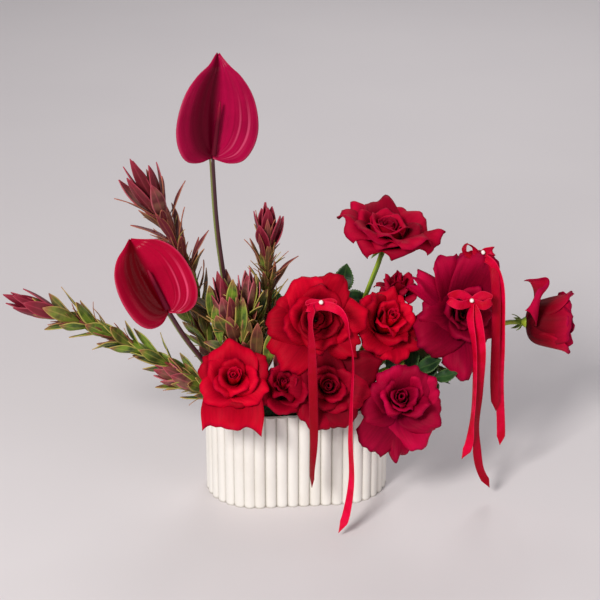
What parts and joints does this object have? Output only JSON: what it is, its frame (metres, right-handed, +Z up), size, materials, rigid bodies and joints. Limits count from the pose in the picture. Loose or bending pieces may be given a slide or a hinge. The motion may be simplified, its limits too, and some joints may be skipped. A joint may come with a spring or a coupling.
{
  "type": "flower box",
  "caption": "Fluted ceramic trough with a lift-out liner of floral foam that holds roses, anthuriums, leucadendron shoots and pinned satin ribbons.",
  "frame": {"origin": "middle of the vessel's flat base", "axes": "+Z up, +X along the vessel towards its right end, -Y towards the front that the blooms face"},
  "size_m": [0.6583, 0.2198, 0.5272],
  "materials": {
    "ceramic": "matte",
    "liner": "matte",
    "foam": "matte",
    "rose_petal": "satin",
    "rose_leaf": "satin",
    "rose_stem": "satin",
    "spathe": "gloss",
    "spadix": "matte",
    "anthurium_stem": "satin",
    "leucadendron": "satin",
    "ribbon": "satin",
    "pearl": "gloss"
  },
  "bodies": {
    "vessel": {"fluted_vessel": "ceramic"},
    "insert": {"foam_block": "foam", "leucadendron_centre_left": "leucadendron", "leucadendron_centre_right": "leucadendron", "leucadendron_lower_left": "leucadendron", "leucadendron_rear_left": "leucadendron", "leucadendron_rear_right": "leucadendron", "liner": "liner", "pearl_pin_front": "pearl", "pearl_pin_right": "pearl", "pearl_pin_top": "pearl", "ribbon_front": "ribbon", "ribbon_right": "ribbon", "ribbon_top": "ribbon", "rose_bow_bloom": "rose_petal", "rose_bow_stem": "rose_stem", "rose_leaf_front": "rose_leaf", "rose_leaf_rear_far": "rose_leaf", "rose_leaf_rear_middle": "rose_leaf", "rose_leaf_right": "rose_leaf", "rose_leaf_tall": "rose_leaf", "rose_left_bloom": "rose_petal", "rose_left_stem": "rose_stem", "rose_low_bloom": "rose_petal", "rose_low_stem": "rose_stem", "rose_middle_bloom": "rose_petal", "rose_middle_stem": "rose_stem", "rose_rear_bloom": "rose_petal", "rose_rear_stem": "rose_stem", "rose_right_bloom": "rose_petal", "rose_right_stem": "rose_stem", "rose_small_bloom": "rose_petal", "rose_small_stem": "rose_stem", "rose_wide_bloom": "rose_petal", "rose_wide_stem": "rose_stem"},
    "tall_rose": {"rose_tall_stem": "rose_stem", "rose_tall_bloom": "rose_petal"},
    "side_rose": {"rose_side_stem": "rose_stem", "rose_side_bloom": "rose_petal"},
    "tall_anthurium": {"anthurium_tall_stem": "anthurium_stem", "anthurium_tall_spathe": "spathe", "anthurium_tall_spadix": "spadix"},
    "left_anthurium": {"anthurium_left_stem": "anthurium_stem", "anthurium_left_spathe": "spathe", "anthurium_left_spadix": "spadix"},
    "upper_left_shoot": {"leucadendron_upper_left": "leucadendron"},
    "far_left_shoot": {"leucadendron_far_left": "leucadendron"},
    "upper_middle_shoot": {"leucadendron_upper_middle": "leucadendron"}
  },
  "joints": [
    {"name": "insert_lift", "type": "slide", "parent": "vessel", "child": "insert", "axis": [0, 0, 1], "range_m": [0, 0.14]},
    {"name": "tall_rose_draw", "type": "slide", "parent": "insert", "child": "tall_rose", "axis": [0.3543, 0.0719, 0.9323], "range_m": [0, 0.05]},
    {"name": "side_rose_draw", "type": "slide", "parent": "insert", "child": "side_rose", "axis": [0.9078, -0.0953, 0.4085], "range_m": [0, 0.05]},
    {"name": "tall_anthurium_draw", "type": "slide", "parent": "insert", "child": "tall_anthurium", "axis": [-0.1174, -0.0098, 0.993], "range_m": [0, 0.05]},
    {"name": "left_anthurium_draw", "type": "slide", "parent": "insert", "child": "left_anthurium", "axis": [-0.5321, -0.133, 0.8362], "range_m": [0, 0.05]},
    {"name": "upper_left_shoot_draw", "type": "slide", "parent": "insert", "child": "upper_left_shoot", "axis": [-0.2332, 0.0736, 0.9696], "range_m": [0, 0.05]},
    {"name": "far_left_shoot_draw", "type": "slide", "parent": "insert", "child": "far_left_shoot", "axis": [-0.8505, 0.0362, 0.5248], "range_m": [0, 0.05]},
    {"name": "upper_middle_shoot_draw", "type": "slide", "parent": "insert", "child": "upper_middle_shoot", "axis": [0.0145, 0.0434, 0.999], "range_m": [0, 0.05]}
  ]
}
